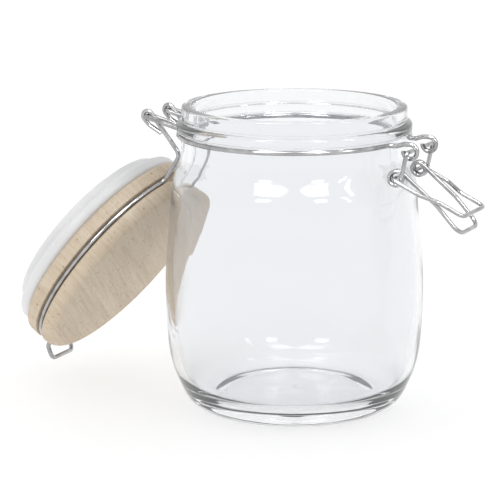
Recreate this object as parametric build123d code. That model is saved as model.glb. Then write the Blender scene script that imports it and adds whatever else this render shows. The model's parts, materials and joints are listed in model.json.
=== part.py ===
"""Clip-top food canister: glass jar, wooden lid with a silicone seal, and its bent-wire closure.

Frame: origin at the centre of the jar's base, +Z up, +X towards the latch, hinge pins along Y.
The lid is drawn closed on the jar, then swung open about its hinge, because open is the rest pose.
"""
from build123d import *
import math
import os

os.makedirs("parts", exist_ok=True)

# Jar
BODY_RADIUS = 55.25
NECK_RADIUS = 48.0
BEAD_RADIUS = 50.0
LIP_RADIUS = 47.8
MOUTH_RADIUS = 43.2
JAR_HEIGHT = 130.3
LIP_BOTTOM = 124.5
BEAD_BOTTOM = 119.1
BEAD_TOP = 123.8
STAND_RADIUS = 36.0
PUNT_DEPTH = 2.0
FLOOR_HEIGHT = 6.8
FLOOR_RADIUS = 29.5
NECK_FOOT = 111.0
BORE_FOOT = 112.0
BEAD_LOW_ROUND, BEAD_HIGH_ROUND = 1.4, 1.8
LIP_ROUND = 1.0
RECESS_RADIUS = 47.3

# Neck wire: a band in the groove under the bead, with two eyes in front and two ears behind
BAND_WIRE = 2.0
BAND_RADIUS = NECK_RADIUS + BAND_WIRE / 2 + 0.05
BAND_HEIGHT = 117.9
EYE_X, EYE_Z = 57.4, 116.0
EYE_RADIUS = 3.0
EYE_Y = 10.2
EAR_Y = 9.5
EAR_HALF_WIDTH = 2.6
EYE_BEND_ANGLE = 16
EAR_OUTER_ANGLE, EAR_INNER_ANGLE = 18, 4.5

# Lid hinge
HINGE_X, HINGE_Z = -65.45, 122.3
OPEN_ANGLE = 233.2

# Lid, in its closed place
SEAL_GAP = 0.2
SEAL_THICKNESS = 6.5
SEAL_RADIUS = 47.4
SEAL_BORE = 39.8
SEAL_LIP_DEPTH = 4.2
SEAL_LIP_TOP, SEAL_LIP_END = 42.6, 41.6
LID_RADIUS = 49.5
LID_BOTTOM = JAR_HEIGHT + SEAL_GAP + SEAL_THICKNESS
LID_TOP = LID_BOTTOM + 15.5
BOSS_RADIUS = 39.7
BOSS_DEPTH = 6.0
RING_HEIGHT = LID_BOTTOM + 8.0
RING_RADIUS = 47.9
GROOVE_HALF_HEIGHT = 1.7
GROOVE_DEPTH = 3.2
TOP_EDGE = 5.0
BOTTOM_EDGE = 2.2

# Lid wire: hooks, arms, ring and tongue in one length
LID_WIRE = 2.0
HOOK_RADIUS = (BAND_WIRE + LID_WIRE) / 2 + 0.3
HOOK_LENGTH = 9.5
ELBOW_X, ELBOW_Z = -62.0, 144.4
TONGUE_HALF_WIDTH = 8.8
TONGUE_X = 57.0
TONGUE_RISE = 4.6
ARM_BEND_ANGLE, TONGUE_BEND_ANGLE = 16, 15

# Latch
LATCH_WIRE = 1.8
BAIL_X, BAIL_Z = 52.2, 105.0
LEG_Y = 14.2
ARM_Y = 10.6
COIL_RADIUS = 2.8
COIL_CORNERS = 8
ARM_ANGLE = 39.0
ARM_LENGTH = 20.0
HANDLE_ANGLE = 47.0
HANDLE_LENGTH = 15.0
BAIL_ANGLE = 25.0
BAIL_LENGTH = 32.5
BAIL_Y = 16.3
BAIL_NARROW_Y = 12.0
JOG_START, JOG_END = 13.0, 21.0
PIN_END_Y = 7.6
BAIL_PIN_END_Y = 10.6


def wire_edges(points, radii):
    """Straight runs through the points, with a tangent arc at each corner."""
    return FilletPolyline(*points, radius=radii).edges()


def sweep_wire(edges, diameter):
    """Solid round wire along edges that join end to end, listed in order."""
    path = Wire(list(edges))
    return sweep(Plane(origin=path @ 0, z_dir=path % 0) * Circle(diameter / 2), path=path)


def mirror_points(points):
    """The points, followed by their mirror images across y = 0 in reverse order."""
    return points + [(x, -y, z) for x, y, z in reversed(points)]


def tangent_corner(radius, angle, y, height):
    """Start on a ring at the angle and follow its tangent until the given y: (start, corner)."""
    turn = math.radians(angle)
    start = (radius * math.cos(turn), radius * math.sin(turn), height)
    run = (y - start[1]) / math.cos(turn)
    return start, (start[0] - run * math.sin(turn), y, height)


def ring_arc(radius, height, start_angle, end_angle):
    return CenterArc((0, 0, height), radius, start_angle, end_angle - start_angle).edges()


def open_lid(shape):
    """Swing a shape from its closed place to the rest pose."""
    hinge = Axis((HINGE_X, 0, HINGE_Z), (0, -1, 0))
    return shape.rotate(hinge, OPEN_ANGLE)


def jar_body():
    heel = [(44.6, 3.0), (49.2, 10.0), (52.9, 20.0), (54.8, 35.0)]
    side = [(BODY_RADIUS, 52.0), (54.3, 72.0), (52.8, 88.0), (52.2, 96.5)]
    shoulder = [(51.1, 101.0), (49.5, 104.4), (48.4, 107.6), (NECK_RADIUS, NECK_FOOT)]
    inner_side = [(44.6, 104.5), (48.3, 98.5), (49.5, 88.0), (51.1, 72.0), (52.0, 52.0)]
    inner_heel = [(51.4, 35.0), (49.2, 20.0), (45.4, 12.0), (38.0, 7.8)]
    bead_low, bead_high = BEAD_RADIUS - BEAD_LOW_ROUND, BEAD_RADIUS - BEAD_HIGH_ROUND
    lip_outer, lip_inner = LIP_RADIUS - LIP_ROUND, MOUTH_RADIUS + LIP_ROUND
    lip_round_start = JAR_HEIGHT - LIP_ROUND
    with BuildSketch(Plane.XZ) as section:
        with BuildLine():
            Polyline((0, PUNT_DEPTH), (FLOOR_RADIUS, PUNT_DEPTH - 0.6))
            Line((FLOOR_RADIUS, PUNT_DEPTH - 0.6), (STAND_RADIUS - 1.0, 0))
            Line((STAND_RADIUS - 1.0, 0), (STAND_RADIUS + 1.0, 0))
            Spline((STAND_RADIUS + 1.0, 0), *heel, *side, *shoulder, tangents=[(1, 0.12), (0, 1)])
            Polyline((NECK_RADIUS, NECK_FOOT), (NECK_RADIUS, BEAD_BOTTOM), (bead_low, BEAD_BOTTOM))
            TangentArc((bead_low, BEAD_BOTTOM), (BEAD_RADIUS, BEAD_BOTTOM + BEAD_LOW_ROUND), tangent=(1, 0))
            Line((BEAD_RADIUS, BEAD_BOTTOM + BEAD_LOW_ROUND), (BEAD_RADIUS, BEAD_TOP - BEAD_HIGH_ROUND))
            TangentArc((BEAD_RADIUS, BEAD_TOP - BEAD_HIGH_ROUND), (bead_high, BEAD_TOP), tangent=(0, 1))
            Polyline(
                (bead_high, BEAD_TOP), (RECESS_RADIUS, BEAD_TOP), (RECESS_RADIUS, LIP_BOTTOM - 0.2),
                (LIP_RADIUS, LIP_BOTTOM + 0.3),
            )
            Line((LIP_RADIUS, LIP_BOTTOM + 0.3), (LIP_RADIUS, lip_round_start))
            TangentArc((LIP_RADIUS, lip_round_start), (lip_outer, JAR_HEIGHT), tangent=(0, 1))
            Line((lip_outer, JAR_HEIGHT), (lip_inner, JAR_HEIGHT))
            TangentArc((lip_inner, JAR_HEIGHT), (MOUTH_RADIUS, lip_round_start), tangent=(-1, 0))
            Line((MOUTH_RADIUS, lip_round_start), (MOUTH_RADIUS, BORE_FOOT))
            Spline(
                (MOUTH_RADIUS, BORE_FOOT), *inner_side, *inner_heel, (FLOOR_RADIUS, FLOOR_HEIGHT),
                tangents=[(0, -1), (-1, -0.03)],
            )
            Polyline((FLOOR_RADIUS, FLOOR_HEIGHT), (0, FLOOR_HEIGHT + 0.8), (0, PUNT_DEPTH))
        make_face()
    return revolve(section.sketch, Axis.Z)


def neck_wire():
    """Mirror-image halves: eye, half band and ear on each side, joined across the back."""
    outer_angle, inner_angle = 180 + EAR_OUTER_ANGLE, 180 + EAR_INNER_ANGLE
    band_end, eye_corner = tangent_corner(BAND_RADIUS, -EYE_BEND_ANGLE, -EYE_Y, BAND_HEIGHT)
    ear_start, outer_corner = tangent_corner(BAND_RADIUS, outer_angle, -EAR_Y - EAR_HALF_WIDTH, BAND_HEIGHT)
    ear_end, inner_corner = tangent_corner(BAND_RADIUS, inner_angle, -EAR_Y + EAR_HALF_WIDTH, BAND_HEIGHT)
    top, low = EYE_Z + EYE_RADIUS, EYE_Z - EYE_RADIUS
    left, right = EYE_X - EYE_RADIUS, EYE_X + EYE_RADIUS
    eye = [
        (left, -EYE_Y, EYE_Z), (left, -EYE_Y, low), (right, -EYE_Y, low), (right, -EYE_Y, top),
        (54.5, -EYE_Y, top), (51.5, -EYE_Y, BAND_HEIGHT), eye_corner, band_end,
    ]
    curl = EYE_RADIUS - 0.05
    ear = [
        ear_start, outer_corner, (HINGE_X, outer_corner[1], HINGE_Z),
        (HINGE_X, inner_corner[1], HINGE_Z), inner_corner, ear_end,
    ]
    half = [
        *wire_edges(eye, [curl, curl, curl, 5.0, 5.0, 2.2]),
        *ring_arc(BAND_RADIUS, BAND_HEIGHT, -EYE_BEND_ANGLE, EAR_OUTER_ANGLE - 180),
        *wire_edges(ear, [2.2, 1.9, 1.9, 2.2]),
    ]
    back = ring_arc(BAND_RADIUS, BAND_HEIGHT, inner_angle, 360 - inner_angle)
    other = [edge.mirror(Plane.XZ) for edge in half]
    return sweep_wire([*half, *back, *other], BAND_WIRE)


def lid_disc():
    groove_low, groove_high = RING_HEIGHT - GROOVE_HALF_HEIGHT, RING_HEIGHT + GROOVE_HALF_HEIGHT
    groove_wall = LID_RADIUS - GROOVE_DEPTH + GROOVE_HALF_HEIGHT
    with BuildSketch(Plane.XZ) as section:
        with BuildLine():
            boss_bottom = LID_BOTTOM - BOSS_DEPTH
            Polyline((0, boss_bottom), (BOSS_RADIUS, boss_bottom), (BOSS_RADIUS, LID_BOTTOM))
            Line((BOSS_RADIUS, LID_BOTTOM), (LID_RADIUS - BOTTOM_EDGE, LID_BOTTOM))
            TangentArc(
                (LID_RADIUS - BOTTOM_EDGE, LID_BOTTOM), (LID_RADIUS, LID_BOTTOM + BOTTOM_EDGE),
                tangent=(1, 0),
            )
            Polyline(
                (LID_RADIUS, LID_BOTTOM + BOTTOM_EDGE), (LID_RADIUS, groove_low),
                (groove_wall, groove_low),
            )
            ThreePointArc(
                (groove_wall, groove_low), (LID_RADIUS - GROOVE_DEPTH, RING_HEIGHT),
                (groove_wall, groove_high),
            )
            Polyline((groove_wall, groove_high), (LID_RADIUS, groove_high), (LID_RADIUS, LID_TOP - TOP_EDGE))
            TangentArc((LID_RADIUS, LID_TOP - TOP_EDGE), (LID_RADIUS - TOP_EDGE, LID_TOP), tangent=(0, 1))
            Polyline((LID_RADIUS - TOP_EDGE, LID_TOP), (0, LID_TOP), (0, boss_bottom))
        make_face()
    return open_lid(revolve(section.sketch, Axis.Z))


def lid_gasket():
    """Thick flange that lies on the rim, with a tapered lip that plugs the mouth."""
    bottom = JAR_HEIGHT + SEAL_GAP
    round_edge = SEAL_THICKNESS * 0.42
    with BuildSketch(Plane.XZ) as section:
        with Locations(((SEAL_BORE + SEAL_RADIUS) / 2, bottom + SEAL_THICKNESS / 2)):
            Rectangle(SEAL_RADIUS - SEAL_BORE, SEAL_THICKNESS)
        fillet(section.vertices().group_by(Axis.X)[-1], round_edge)
        with BuildLine():
            Polyline(
                (SEAL_BORE, bottom + 1.0), (SEAL_LIP_TOP, bottom + 1.0), (SEAL_LIP_TOP, bottom),
                (SEAL_LIP_END, bottom - SEAL_LIP_DEPTH), (SEAL_BORE, bottom - SEAL_LIP_DEPTH),
                (SEAL_BORE, bottom + 1.0),
            )
        make_face()
    return open_lid(revolve(section.sketch, Axis.Z))


def lid_wire():
    """Both halves in one length: hook, arm, half ring, tongue, half ring, arm, hook."""
    arm_x, arm_z = ELBOW_X - HINGE_X, ELBOW_Z - HINGE_Z
    reach = math.hypot(arm_x, arm_z)
    along = (arm_x / reach, arm_z / reach)
    out = (-along[1], along[0])

    def hook_point(distance, offset):
        return (
            HINGE_X + along[0] * distance + out[0] * offset, -EAR_Y,
            HINGE_Z + along[1] * distance + out[1] * offset,
        )

    ring_start, arm_corner = tangent_corner(RING_RADIUS, 180 + ARM_BEND_ANGLE, -EAR_Y, RING_HEIGHT)
    ring_end, tongue_corner = tangent_corner(
        RING_RADIUS, -TONGUE_BEND_ANGLE, -TONGUE_HALF_WIDTH, RING_HEIGHT,
    )
    hook = [
        hook_point(HOOK_LENGTH, -0.4), hook_point(HOOK_LENGTH * 0.35, -HOOK_RADIUS),
        hook_point(-HOOK_RADIUS, -HOOK_RADIUS), hook_point(-HOOK_RADIUS, HOOK_RADIUS),
        (ELBOW_X, -EAR_Y, ELBOW_Z), arm_corner, ring_start,
    ]
    bend = HOOK_RADIUS - 0.02
    tongue = mirror_points([
        ring_end, tongue_corner, (TONGUE_X - 3.4, -TONGUE_HALF_WIDTH, RING_HEIGHT - 0.8),
        (TONGUE_X, -TONGUE_HALF_WIDTH, RING_HEIGHT + TONGUE_RISE),
    ])
    start = wire_edges(hook, [3.0, bend, bend, 4.0, 2.6])
    near = ring_arc(RING_RADIUS, RING_HEIGHT, ARM_BEND_ANGLE - 180, -TONGUE_BEND_ANGLE)
    front = wire_edges(tongue, [2.2, 2.2, 2.4, 2.4, 2.2, 2.2])
    other = [edge.mirror(Plane.XZ) for edge in [*start, *near]]
    return open_lid(sweep_wire([*start, *near, *front, *other], LID_WIRE))


def latch_lever():
    """One length: pin, leg, spring coil and arm on each side, joined by the finger bar."""
    leg_x, leg_z = EYE_X - BAIL_X, EYE_Z - BAIL_Z
    leg_reach = math.hypot(leg_x, leg_z)
    first = math.degrees(math.atan2(leg_z, leg_x) - math.acos(COIL_RADIUS / leg_reach))
    last = 90.0 - ARM_ANGLE - 720.0
    step = (first - last) / COIL_CORNERS
    corner_radius = COIL_RADIUS / math.cos(math.radians(step / 2))
    coil = []
    for corner in range(COIL_CORNERS):
        turn = math.radians(first - (corner + 0.5) * step)
        shift = (corner + 0.5) / COIL_CORNERS * (LEG_Y - ARM_Y)
        coil.append((
            BAIL_X + corner_radius * math.cos(turn), shift - LEG_Y,
            BAIL_Z + corner_radius * math.sin(turn),
        ))
    turn = math.radians(last)
    arm, handle = math.radians(ARM_ANGLE), math.radians(HANDLE_ANGLE)
    knee_x = BAIL_X + COIL_RADIUS * math.cos(turn) + ARM_LENGTH * math.cos(arm)
    knee_z = BAIL_Z + COIL_RADIUS * math.sin(turn) - ARM_LENGTH * math.sin(arm)
    tip_x, tip_z = knee_x + HANDLE_LENGTH * math.cos(handle), knee_z - HANDLE_LENGTH * math.sin(handle)
    points = mirror_points([
        (EYE_X, -PIN_END_Y, EYE_Z), (EYE_X, -LEG_Y, EYE_Z), *coil,
        (knee_x, -ARM_Y, knee_z), (tip_x, -ARM_Y, tip_z),
    ])
    half_radii = [1.6, *[COIL_RADIUS - 0.05] * COIL_CORNERS, 12.0, 4.5]
    return sweep_wire(wire_edges(points, half_radii + half_radii[::-1]), LATCH_WIRE)


def latch_bail():
    """One length: pins through the lever's coils, wide base, narrower loop and crossbar."""
    slope = math.radians(BAIL_ANGLE)

    def bail_point(distance, y):
        return (BAIL_X + distance * math.cos(slope), y, BAIL_Z - distance * math.sin(slope))

    points = mirror_points([
        bail_point(0, -BAIL_PIN_END_Y), bail_point(0, -BAIL_Y), bail_point(JOG_START, -BAIL_Y),
        bail_point(JOG_END, -BAIL_NARROW_Y), bail_point(BAIL_LENGTH, -BAIL_NARROW_Y),
    ])
    half_radii = [1.5, 5.0, 5.0, 2.4]
    return sweep_wire(wire_edges(points, half_radii + half_radii[::-1]), LATCH_WIRE)


PARTS = [jar_body, neck_wire, lid_disc, lid_gasket, lid_wire, latch_lever, latch_bail]

for make_part in PARTS:
    export_step(make_part(), f"parts/{make_part.__name__}.step")
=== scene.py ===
import json
import math

import bmesh
import bpy
import numpy as np
from mathutils import Matrix, Vector

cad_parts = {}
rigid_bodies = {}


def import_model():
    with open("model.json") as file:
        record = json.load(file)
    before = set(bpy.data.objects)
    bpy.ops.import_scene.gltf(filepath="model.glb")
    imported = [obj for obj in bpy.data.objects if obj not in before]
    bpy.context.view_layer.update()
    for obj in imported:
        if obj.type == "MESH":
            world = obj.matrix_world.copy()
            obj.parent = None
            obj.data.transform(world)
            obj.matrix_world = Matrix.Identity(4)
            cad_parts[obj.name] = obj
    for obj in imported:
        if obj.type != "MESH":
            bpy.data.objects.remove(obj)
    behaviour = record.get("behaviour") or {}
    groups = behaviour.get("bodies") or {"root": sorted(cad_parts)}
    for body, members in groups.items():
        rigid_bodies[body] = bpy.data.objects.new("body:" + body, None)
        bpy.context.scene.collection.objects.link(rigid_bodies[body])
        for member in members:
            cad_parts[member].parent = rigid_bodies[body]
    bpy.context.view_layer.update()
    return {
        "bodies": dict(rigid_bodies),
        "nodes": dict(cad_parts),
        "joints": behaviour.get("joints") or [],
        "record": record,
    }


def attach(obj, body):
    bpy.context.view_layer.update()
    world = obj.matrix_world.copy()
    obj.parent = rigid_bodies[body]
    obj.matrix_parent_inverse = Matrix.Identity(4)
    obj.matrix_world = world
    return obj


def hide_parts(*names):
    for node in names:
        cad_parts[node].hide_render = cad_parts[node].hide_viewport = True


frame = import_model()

MM = 0.001
SEGMENTS = 288
GRAIN_ANGLE = 56.0  # of the wood's streaks, from +X, on the closed lid

# Jar, in millimetres
NECK_RADIUS, BEAD_RADIUS, RECESS_RADIUS, LIP_RADIUS = 48, 50, 47.3, 47.8
MOUTH_RADIUS, FLOOR_RADIUS, FOOT_RADIUS = 43.2, 29.5, 37
NECK_FOOT, BORE_FOOT = 111, 112
BEAD_BOTTOM, BEAD_TOP, JAR_HEIGHT = 119.1, 123.8, 130.3
FLOOR_HEIGHT, LIP_ROUND = 6.8, 1.1

# Lid and seal in their closed place, in millimetres
LID_RADIUS = 49.5
LID_BOTTOM, LID_TOP = 137.0, 152.5
BOSS_RADIUS, BOSS_BOTTOM = 39.7, 131.0
RING_HEIGHT = 145.0
GROOVE_WALL, GROOVE_HALF_HEIGHT = 48.0, 1.7
SEAL_BORE, SEAL_RADIUS, SEAL_BOTTOM = 39.8, 47.4, 130.5
SEAL_LIP_TOP, SEAL_LIP_END, SEAL_LIP_BOTTOM = 42.6, 41.6, 126.3
SEAL_ROUND = 2.6

# The lid is drawn closed on the jar, then swung open about its hinge, as the CAD nodes are at rest.
lid_joint = next(j for j in frame["joints"] if j["name"] == "lid_hinge")
hinge = Vector(lid_joint["pos_m"])
open_angle = math.radians(max(lid_joint["range_deg"]))
OPEN = (
    Matrix.Translation(hinge)
    @ Matrix.Rotation(-open_angle, 4, Vector(lid_joint["axis"]))
    @ Matrix.Translation(-hinge)
)


def link(name, data):
    """A new object with this data, in the scene."""
    thing = bpy.data.objects.new(name, data)
    bpy.context.scene.collection.objects.link(thing)
    return thing


# ---------------------------------------------------------------- profiles and lathe meshes

def spline(points, start, end, step=1.4):
    """Points along a smooth curve through the given ones, with end directions start and end."""
    knots = np.array(points, float)
    gaps = np.linalg.norm(np.diff(knots, axis=0), axis=1)
    count = len(knots)
    system, right = np.zeros((count, count)), np.zeros((count, 2))
    system[0, 0] = system[-1, -1] = 1
    right[0] = np.array(start) / np.linalg.norm(start)
    right[-1] = np.array(end) / np.linalg.norm(end)
    for i in range(1, count - 1):
        before, after = gaps[i - 1], gaps[i]
        system[i, i - 1:i + 2] = after, 2 * (before + after), before
        right[i] = 3 * (
            after * (knots[i] - knots[i - 1]) / before + before * (knots[i + 1] - knots[i]) / after
        )
    slopes = np.linalg.solve(system, right)
    out = []
    for i, gap in enumerate(gaps):
        pieces = max(2, round(gap / step))
        for t in np.arange(pieces) / pieces:
            h = (2 * t**3 - 3 * t**2 + 1, t**3 - 2 * t**2 + t, 3 * t**2 - 2 * t**3, t**3 - t**2)
            out.append(tuple(
                h[0] * knots[i] + h[1] * gap * slopes[i] + h[2] * knots[i + 1] + h[3] * gap * slopes[i + 1]
            ))
    return out + [tuple(knots[-1])]


def rounded(points, step=0.9, arc_steps=6):
    """Points along straight runs between (r, z, corner radius) points, their corners rounded."""
    out = []
    for i, (r, z, radius) in enumerate(points):
        here = Vector((r, z))
        if radius == 0 or i in (0, len(points) - 1):
            stops = [here]
        else:
            back = (Vector(points[i - 1][:2]) - here).normalized()
            ahead = (Vector(points[i + 1][:2]) - here).normalized()
            half = back.angle(ahead) / 2
            reach = radius / math.tan(half)
            centre = here + (back + ahead).normalized() * (radius / math.sin(half))
            first, last = here + back * reach - centre, here + ahead * reach - centre
            turn = first.angle_signed(last)
            stops = [
                centre + Matrix.Rotation(-turn * k / arc_steps, 2) @ first for k in range(arc_steps + 1)
            ]
        if out:
            run = stops[0] - out[-1]
            pieces = max(1, round(run.length / step))
            base = out[-1]
            out += [base + run * k / pieces for k in range(1, pieces)]
        out += stops
    return [tuple(p) for p in out]


def lathe(name, profile, matrix=None, closed=False):
    """A mesh object: the (r, z) profile in millimetres turned about the jar's axis."""
    bm = bmesh.new()
    rings = []
    for r, z in profile:
        if r < 1e-6:
            rings.append([bm.verts.new((0, 0, z * MM))])
            continue
        rings.append([
            bm.verts.new((r * MM * math.cos(a), r * MM * math.sin(a), z * MM))
            for a in (2 * math.pi * k / SEGMENTS for k in range(SEGMENTS))
        ])
    pairs = list(zip(rings, rings[1:] + rings[:1])) if closed else list(zip(rings, rings[1:]))
    for low, high in pairs:
        for k in range(SEGMENTS):
            n = (k + 1) % SEGMENTS
            if len(low) == 1 and len(high) == 1:
                continue
            if len(low) == 1:
                corners = (low[0], high[n], high[k])
            elif len(high) == 1:
                corners = (low[k], low[n], high[0])
            else:
                corners = (low[k], low[n], high[n], high[k])
            bm.faces.new(corners).smooth = True
    bmesh.ops.recalc_face_normals(bm, faces=bm.faces)
    mesh = bpy.data.meshes.new(name)
    bm.to_mesh(mesh)
    bm.free()
    if matrix is not None:
        mesh.transform(matrix)
    return link(name, mesh)


# ---------------------------------------------------------------- material helpers

class Nodes:
    """A new material's node tree, with short calls to add and join nodes."""

    def __init__(self, name):
        self.material = bpy.data.materials.new(name)
        self.material.use_nodes = True
        self.tree = self.material.node_tree
        self.shader = self.tree.nodes["Principled BSDF"]
        self.coords = self.add("ShaderNodeTexCoord")

    def add(self, kind, **settings):
        node = self.tree.nodes.new(kind)
        for key, value in settings.items():
            setattr(node, key, value)
        return node

    def join(self, out, into):
        self.tree.links.new(out, into)

    def mapped(self, size=(1, 1, 1), frame=None):
        """Object coordinates in a turned frame, each axis counted in its own feature size in metres."""
        node = self.add("ShaderNodeMapping", vector_type="TEXTURE")
        node.inputs["Scale"].default_value = size
        if frame is not None:
            node.inputs["Rotation"].default_value = frame.to_euler("XYZ")
        self.join(self.coords.outputs["Object"], node.inputs["Vector"])
        return node.outputs["Vector"]

    def noise(self, vector, scale, detail=3.0, roughness=0.5, distortion=0.0):
        node = self.add("ShaderNodeTexNoise")
        for key, value in (
            ("Scale", scale), ("Detail", detail), ("Roughness", roughness), ("Distortion", distortion),
        ):
            node.inputs[key].default_value = value
        self.join(vector, node.inputs["Vector"])
        return node.outputs["Fac"]

    def ramp(self, value, *stops):
        node = self.add("ShaderNodeValToRGB")
        elements = node.color_ramp.elements
        while len(elements) < len(stops):
            elements.new(0.5)
        for element, (place, colour) in zip(elements, stops):
            element.position = place
            element.color = (*colour, 1) if len(colour) == 3 else colour
        self.join(value, node.inputs["Fac"])
        return node.outputs["Color"]

    def spread(self, value, low, high, start=0.0, end=1.0):
        node = self.add("ShaderNodeMapRange")
        for key, number in (
            ("From Min", start), ("From Max", end), ("To Min", low), ("To Max", high),
        ):
            node.inputs[key].default_value = number
        self.join(value, node.inputs["Value"])
        return node.outputs["Result"]

    def mix(self, kind, factor, first, second):
        node = self.add("ShaderNodeMix", data_type="RGBA", blend_type=kind)
        for value, key in ((factor, "Factor"), (first, "A"), (second, "B")):
            socket = next(s for s in node.inputs if s.name == key and s.enabled)
            if isinstance(value, (int, float)):
                socket.default_value = value
            elif isinstance(value, tuple):
                socket.default_value = (*value, 1)
            else:
                self.join(value, socket)
        return next(s for s in node.outputs if s.enabled)

    def bump(self, height, strength, distance, normal=None):
        node = self.add("ShaderNodeBump")
        node.inputs["Strength"].default_value = strength
        node.inputs["Distance"].default_value = distance
        self.join(height, node.inputs["Height"])
        if normal is not None:
            self.join(normal, node.inputs["Normal"])
        return node.outputs["Normal"]

    def set(self, **sockets):
        for key, value in sockets.items():
            socket = self.shader.inputs[key.replace("_", " ")]
            if hasattr(value, "node"):
                self.join(value, socket)
            else:
                socket.default_value = value


def glass_material():
    """Clear glass with gentle waves. A faint glow stands in for light lost in its thick base."""
    n = Nodes("clear_glass")
    plain = n.mapped()
    wave = n.noise(plain, 38, detail=1.5)
    fine = n.noise(plain, 140, detail=1.0)
    normal = n.bump(fine, 0.10, 0.0003, n.bump(wave, 0.22, 0.0011))
    n.set(
        Base_Color=(0.868, 0.876, 0.888, 1), Transmission_Weight=1.0, IOR=1.36,
        Emission_Color=(0.97, 0.985, 1.0, 1), Emission_Strength=0.018,
        Roughness=n.spread(fine, 0.0, 0.02, 0.35, 0.75), Normal=normal,
    )
    return n.material


def wire_material():
    n = Nodes("bright_steel_wire")
    plain = n.mapped()
    cloud = n.noise(plain, 160, detail=3)
    fine = n.noise(plain, 2600, detail=2)
    n.set(
        Base_Color=n.ramp(cloud, (0.3, (0.33, 0.33, 0.34)), (0.7, (0.53, 0.53, 0.53))),
        Metallic=1.0, Roughness=n.spread(cloud, 0.08, 0.20, 0.3, 0.7),
        Normal=n.bump(fine, 0.25, 0.00004),
    )
    return n.material


def wood_material():
    """Pale fine-grained wood: streaks across the lid, short pores and a few darker flecks."""
    n = Nodes("pale_wood")
    grain = OPEN.to_3x3() @ Matrix.Rotation(math.radians(GRAIN_ANGLE), 3, "Z")
    streaks = n.noise(n.mapped((0.040, 0.0016, 0.012), grain), 1.0, detail=4, roughness=0.6)
    bands = n.noise(n.mapped((0.12, 0.011, 0.05), grain), 1.0, detail=2, distortion=0.6)
    pores = n.noise(n.mapped((0.0060, 0.00065, 0.0014), grain), 1.0, detail=2)
    flecks = n.noise(n.mapped((0.0028, 0.0020, 0.0022), grain), 1.0, detail=1)
    colour = n.ramp(
        streaks,
        (0.30, (0.555, 0.450, 0.325)), (0.48, (0.630, 0.525, 0.397)), (0.70, (0.670, 0.575, 0.448)),
    )
    tone = n.ramp(bands, (0.3, (0.90, 0.88, 0.86)), (0.7, (1.0, 1.0, 1.0)))
    dark = n.ramp(pores, (0.30, (0.80, 0.76, 0.72)), (0.42, (1.0, 1.0, 1.0)))
    spots = n.ramp(flecks, (0.24, (0.70, 0.63, 0.58)), (0.31, (1.0, 1.0, 1.0)))
    colour = n.mix("MULTIPLY", 1.0, colour, tone)
    colour = n.mix("MULTIPLY", 0.8, colour, dark)
    colour = n.mix("MULTIPLY", 1.0, colour, spots)
    n.set(
        Base_Color=colour, Roughness=n.spread(streaks, 0.62, 0.48),
        Normal=n.bump(pores, 0.35, 0.00012, n.bump(streaks, 0.25, 0.00025)),
    )
    return n.material


def seal_material():
    n = Nodes("milky_silicone")
    plain = n.mapped()
    cloud = n.noise(plain, 55, detail=2)
    fine = n.noise(plain, 900, detail=3)
    n.set(
        Base_Color=n.ramp(cloud, (0.3, (0.71, 0.713, 0.722)), (0.7, (0.76, 0.762, 0.768))),
        Roughness=n.spread(fine, 0.38, 0.55, 0.3, 0.7), Subsurface_Weight=0.35,
        Subsurface_Radius=(0.9, 0.9, 0.85), Subsurface_Scale=0.004,
        Normal=n.bump(fine, 0.12, 0.00008),
    )
    return n.material


def floor_material():
    n = Nodes("studio_floor")
    n.set(
        Base_Color=(0.5, 0.5, 0.5, 1), Roughness=0.7, Specular_IOR_Level=0.1,
        Emission_Color=(1, 1, 1, 1), Emission_Strength=0.57,
    )
    return n.material


# ---------------------------------------------------------------- the pieces

glass, wire, wood, seal = glass_material(), wire_material(), wood_material(), seal_material()

heel = [(FOOT_RADIUS, 0), (44.6, 3.0), (49.2, 10.0), (52.9, 20.0), (54.8, 35.0)]
side = [(55.25, 52), (54.3, 72), (52.8, 88), (52.2, 96.5)]
shoulder = [(51.1, 101), (49.5, 104.4), (48.4, 107.6), (NECK_RADIUS, NECK_FOOT)]
inner = [
    (MOUTH_RADIUS, BORE_FOOT), (44.6, 104.5), (48.3, 98.5), (49.5, 88), (51.1, 72), (52, 52),
    (51.4, 35), (49.2, 20), (45.4, 12), (38, 7.8), (FLOOR_RADIUS, FLOOR_HEIGHT),
]
foot = rounded([(0, 2.0, 0), (FLOOR_RADIUS, 1.4, 0.8), (35, 0, 1.5), (FOOT_RADIUS, 0, 0)])
finish_rim = rounded([
    (NECK_RADIUS, NECK_FOOT, 0), (NECK_RADIUS, BEAD_BOTTOM, 0.25), (BEAD_RADIUS, BEAD_BOTTOM, 1.4),
    (BEAD_RADIUS, BEAD_TOP, 1.8), (RECESS_RADIUS, BEAD_TOP, 0.15), (RECESS_RADIUS, 124.35, 0.15),
    (LIP_RADIUS, 124.85, 0.3), (LIP_RADIUS, JAR_HEIGHT, LIP_ROUND), (MOUTH_RADIUS, JAR_HEIGHT, LIP_ROUND),
    (MOUTH_RADIUS, BORE_FOOT, 0),
])
floor_rise = rounded([(FLOOR_RADIUS, FLOOR_HEIGHT, 0), (0, 7.6, 0)])
jar = lathe("jar_glass", (
    foot[:-1] + spline(heel + side + shoulder, (1, 0.12), (0, 1))[:-1] + finish_rim[:-1]
    + spline(inner, (0, -1), (-1, -0.03))[:-1] + floor_rise
))
jar.data.materials.append(glass)
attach(jar, "jar")
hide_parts("jar_body")

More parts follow.
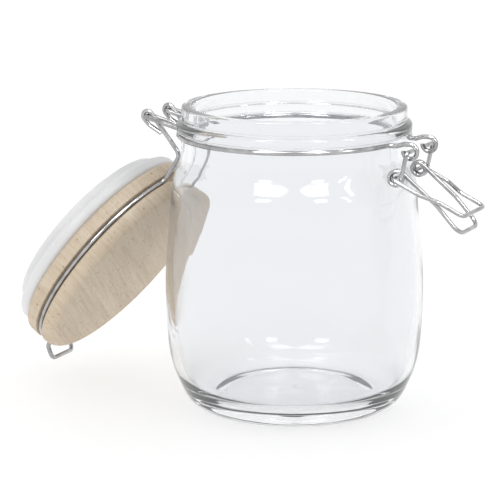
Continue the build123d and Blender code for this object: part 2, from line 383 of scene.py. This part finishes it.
groove_low, groove_high = RING_HEIGHT - GROOVE_HALF_HEIGHT, RING_HEIGHT + GROOVE_HALF_HEIGHT
groove_turns = [math.pi * k / 10 for k in range(1, 10)]
groove = [
    (GROOVE_WALL - GROOVE_HALF_HEIGHT * math.sin(t), RING_HEIGHT - GROOVE_HALF_HEIGHT * math.cos(t))
    for t in groove_turns
]
disc = lathe("lid_wood", (
    rounded([
        (0, BOSS_BOTTOM, 0), (BOSS_RADIUS, BOSS_BOTTOM, 0.6), (BOSS_RADIUS, LID_BOTTOM, 0.2),
        (LID_RADIUS, LID_BOTTOM, 2.2), (LID_RADIUS, groove_low, 0.4), (GROOVE_WALL, groove_low, 0),
    ])
    + groove
    + rounded([
        (GROOVE_WALL, groove_high, 0), (LID_RADIUS, groove_high, 0.4), (LID_RADIUS, LID_TOP, 5.0),
        (0, LID_TOP, 0),
    ], arc_steps=14)
), OPEN)
disc.data.materials.append(wood)
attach(disc, "lid")
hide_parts("lid_disc")

seal_start = (44.0, SEAL_BOTTOM, 0)
gasket = lathe("lid_seal", rounded([
    seal_start, (SEAL_RADIUS, SEAL_BOTTOM, SEAL_ROUND), (SEAL_RADIUS, LID_BOTTOM, SEAL_ROUND),
    (SEAL_BORE, LID_BOTTOM, 0.3), (SEAL_BORE, SEAL_LIP_BOTTOM, 0.5),
    (SEAL_LIP_END, SEAL_LIP_BOTTOM, 0.8), (SEAL_LIP_TOP, SEAL_BOTTOM, 0.4), seal_start,
], step=0.5, arc_steps=10)[:-1], OPEN, closed=True)
gasket.data.materials.append(seal)
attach(gasket, "lid")
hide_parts("lid_gasket")

for name in ("neck_wire", "lid_wire", "latch_lever", "latch_bail"):
    node = frame["nodes"][name]
    node.data.materials.clear()
    node.data.materials.append(wire)
    for face in node.data.polygons:
        face.use_smooth = True


# ---------------------------------------------------------------- floor, light and camera

floor_mesh = bpy.data.meshes.new("floor")
floor_reach, floor_height = 6.0, -0.0002
floor_mesh.from_pydata([
    (x * floor_reach, y * floor_reach, floor_height) for x, y in ((-1, -1), (1, -1), (1, 1), (-1, 1))
], [], [(0, 1, 2, 3)])
floor = link("floor", floor_mesh)
floor.data.materials.append(floor_material())

world = bpy.data.worlds.new("studio")
bpy.context.scene.world = world
world.use_nodes = True
world.node_tree.nodes["Background"].inputs["Color"].default_value = (1.0, 1.0, 1.0, 1)
world.node_tree.nodes["Background"].inputs["Strength"].default_value = 0.92


def softbox(name, azimuth, elevation, distance, width, height, radiance):
    """A rectangular light facing the jar. Azimuth 0 is on its -Y side, and 90 on its +X side."""
    data = bpy.data.lights.new(name, "AREA")
    data.shape = "RECTANGLE"
    data.size, data.size_y = width, height
    data.energy = radiance * math.pi * width * height
    light = link(name, data)
    turn, tilt = math.radians(azimuth), math.radians(elevation)
    target = Vector((0, 0, 0.07))
    away = Vector((math.cos(tilt) * math.sin(turn), -math.cos(tilt) * math.cos(turn), math.sin(tilt)))
    light.location = target + away * distance
    light.rotation_euler = away.to_track_quat("Z", "Y").to_euler()
    return light


# These show as the bright panes in the glass and the wires, and light no matt surface.
for window in (
    ("window_left", -8, 36, 1.3, 0.30, 0.34, 14.0),
    ("window_right", 53, 36, 1.3, 0.26, 0.34, 14.0),
    ("window_far_right", 82, 32, 1.3, 0.10, 0.55, 12.0),
    ("skylight_left", -8, 64, 1.3, 0.42, 0.55, 7.0),
    ("skylight_right", 53, 64, 1.3, 0.36, 0.55, 7.0),
):
    softbox(*window).visible_diffuse = False
fill = softbox("low_fill", 5, 6, 1.6, 1.2, 0.35, 1.6)
fill.visible_glossy = fill.visible_transmission = False

camera = link("camera", bpy.data.cameras.new("camera"))
camera.data.sensor_width = 36.0
camera.data.lens = 165.67
camera.data.shift_x = -0.0888
camera.data.clip_end = 50.0
camera.location = (0.4141, -0.8682, 0.2800)
camera_azimuth, camera_elevation = math.radians(25.5), math.radians(12.466)
camera.rotation_euler = (math.pi / 2 - camera_elevation, 0, camera_azimuth)
bpy.context.scene.camera = camera
bpy.context.scene.view_settings.view_transform = "Standard"
